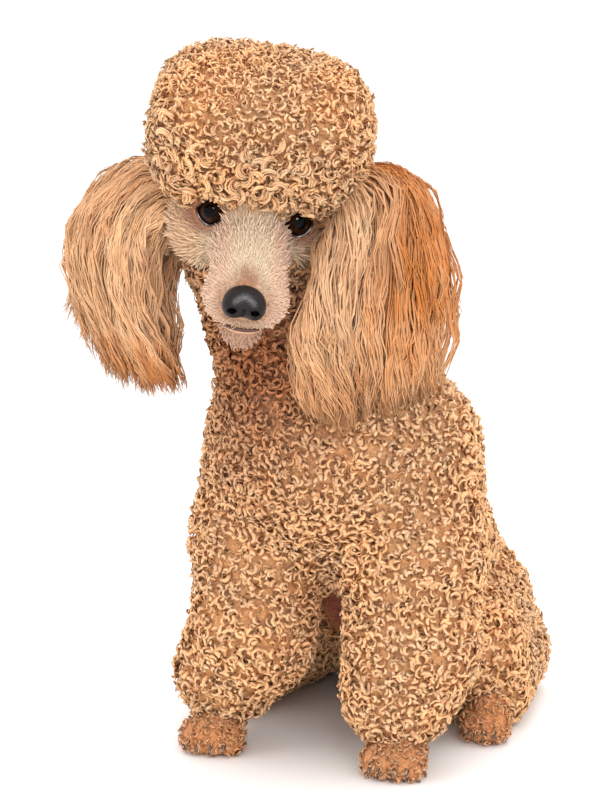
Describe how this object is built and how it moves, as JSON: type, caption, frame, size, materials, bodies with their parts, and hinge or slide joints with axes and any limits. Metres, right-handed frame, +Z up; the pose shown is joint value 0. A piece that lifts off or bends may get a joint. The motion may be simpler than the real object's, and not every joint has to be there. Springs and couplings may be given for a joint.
{
  "type": "miniature poodle, sitting",
  "caption": "Life-size still model of a curly-coated miniature poodle sitting upright, head turned and tilted, with long hanging ears and a tall rounded topknot.",
  "frame": {"origin": "on the floor under the seat, in the middle between the thighs", "axes": "+Z up, -Y towards the chest, +X to the dog's left"},
  "size_m": [0.3076, 0.4754, 0.4811],
  "materials": {
    "coat": "dense apricot curls with pale tips and orange depths, matt",
    "ear": "long wavy apricot hair, soft satin",
    "face": "short cream hair, matt",
    "paw": "short reddish-brown curls, matt",
    "nose": "moist pebbled skin, satin",
    "eye": "wet, glossy dark brown"
  },
  "bodies": {
    "root": {"eye_left": "eye", "eye_right": "eye", "nose": "nose", "head": "face", "topknot": "coat", "neck": "coat", "torso": "coat", "foreleg_left": "coat", "foreleg_right": "coat", "forepaw_left": "paw", "forepaw_right": "paw", "hindleg_left": "coat", "hindleg_right": "coat", "hindpaw_left": "paw", "hindpaw_right": "paw", "tail": "coat", "ear_left": "ear", "ear_right": "ear"}
  },
  "joints": []
}
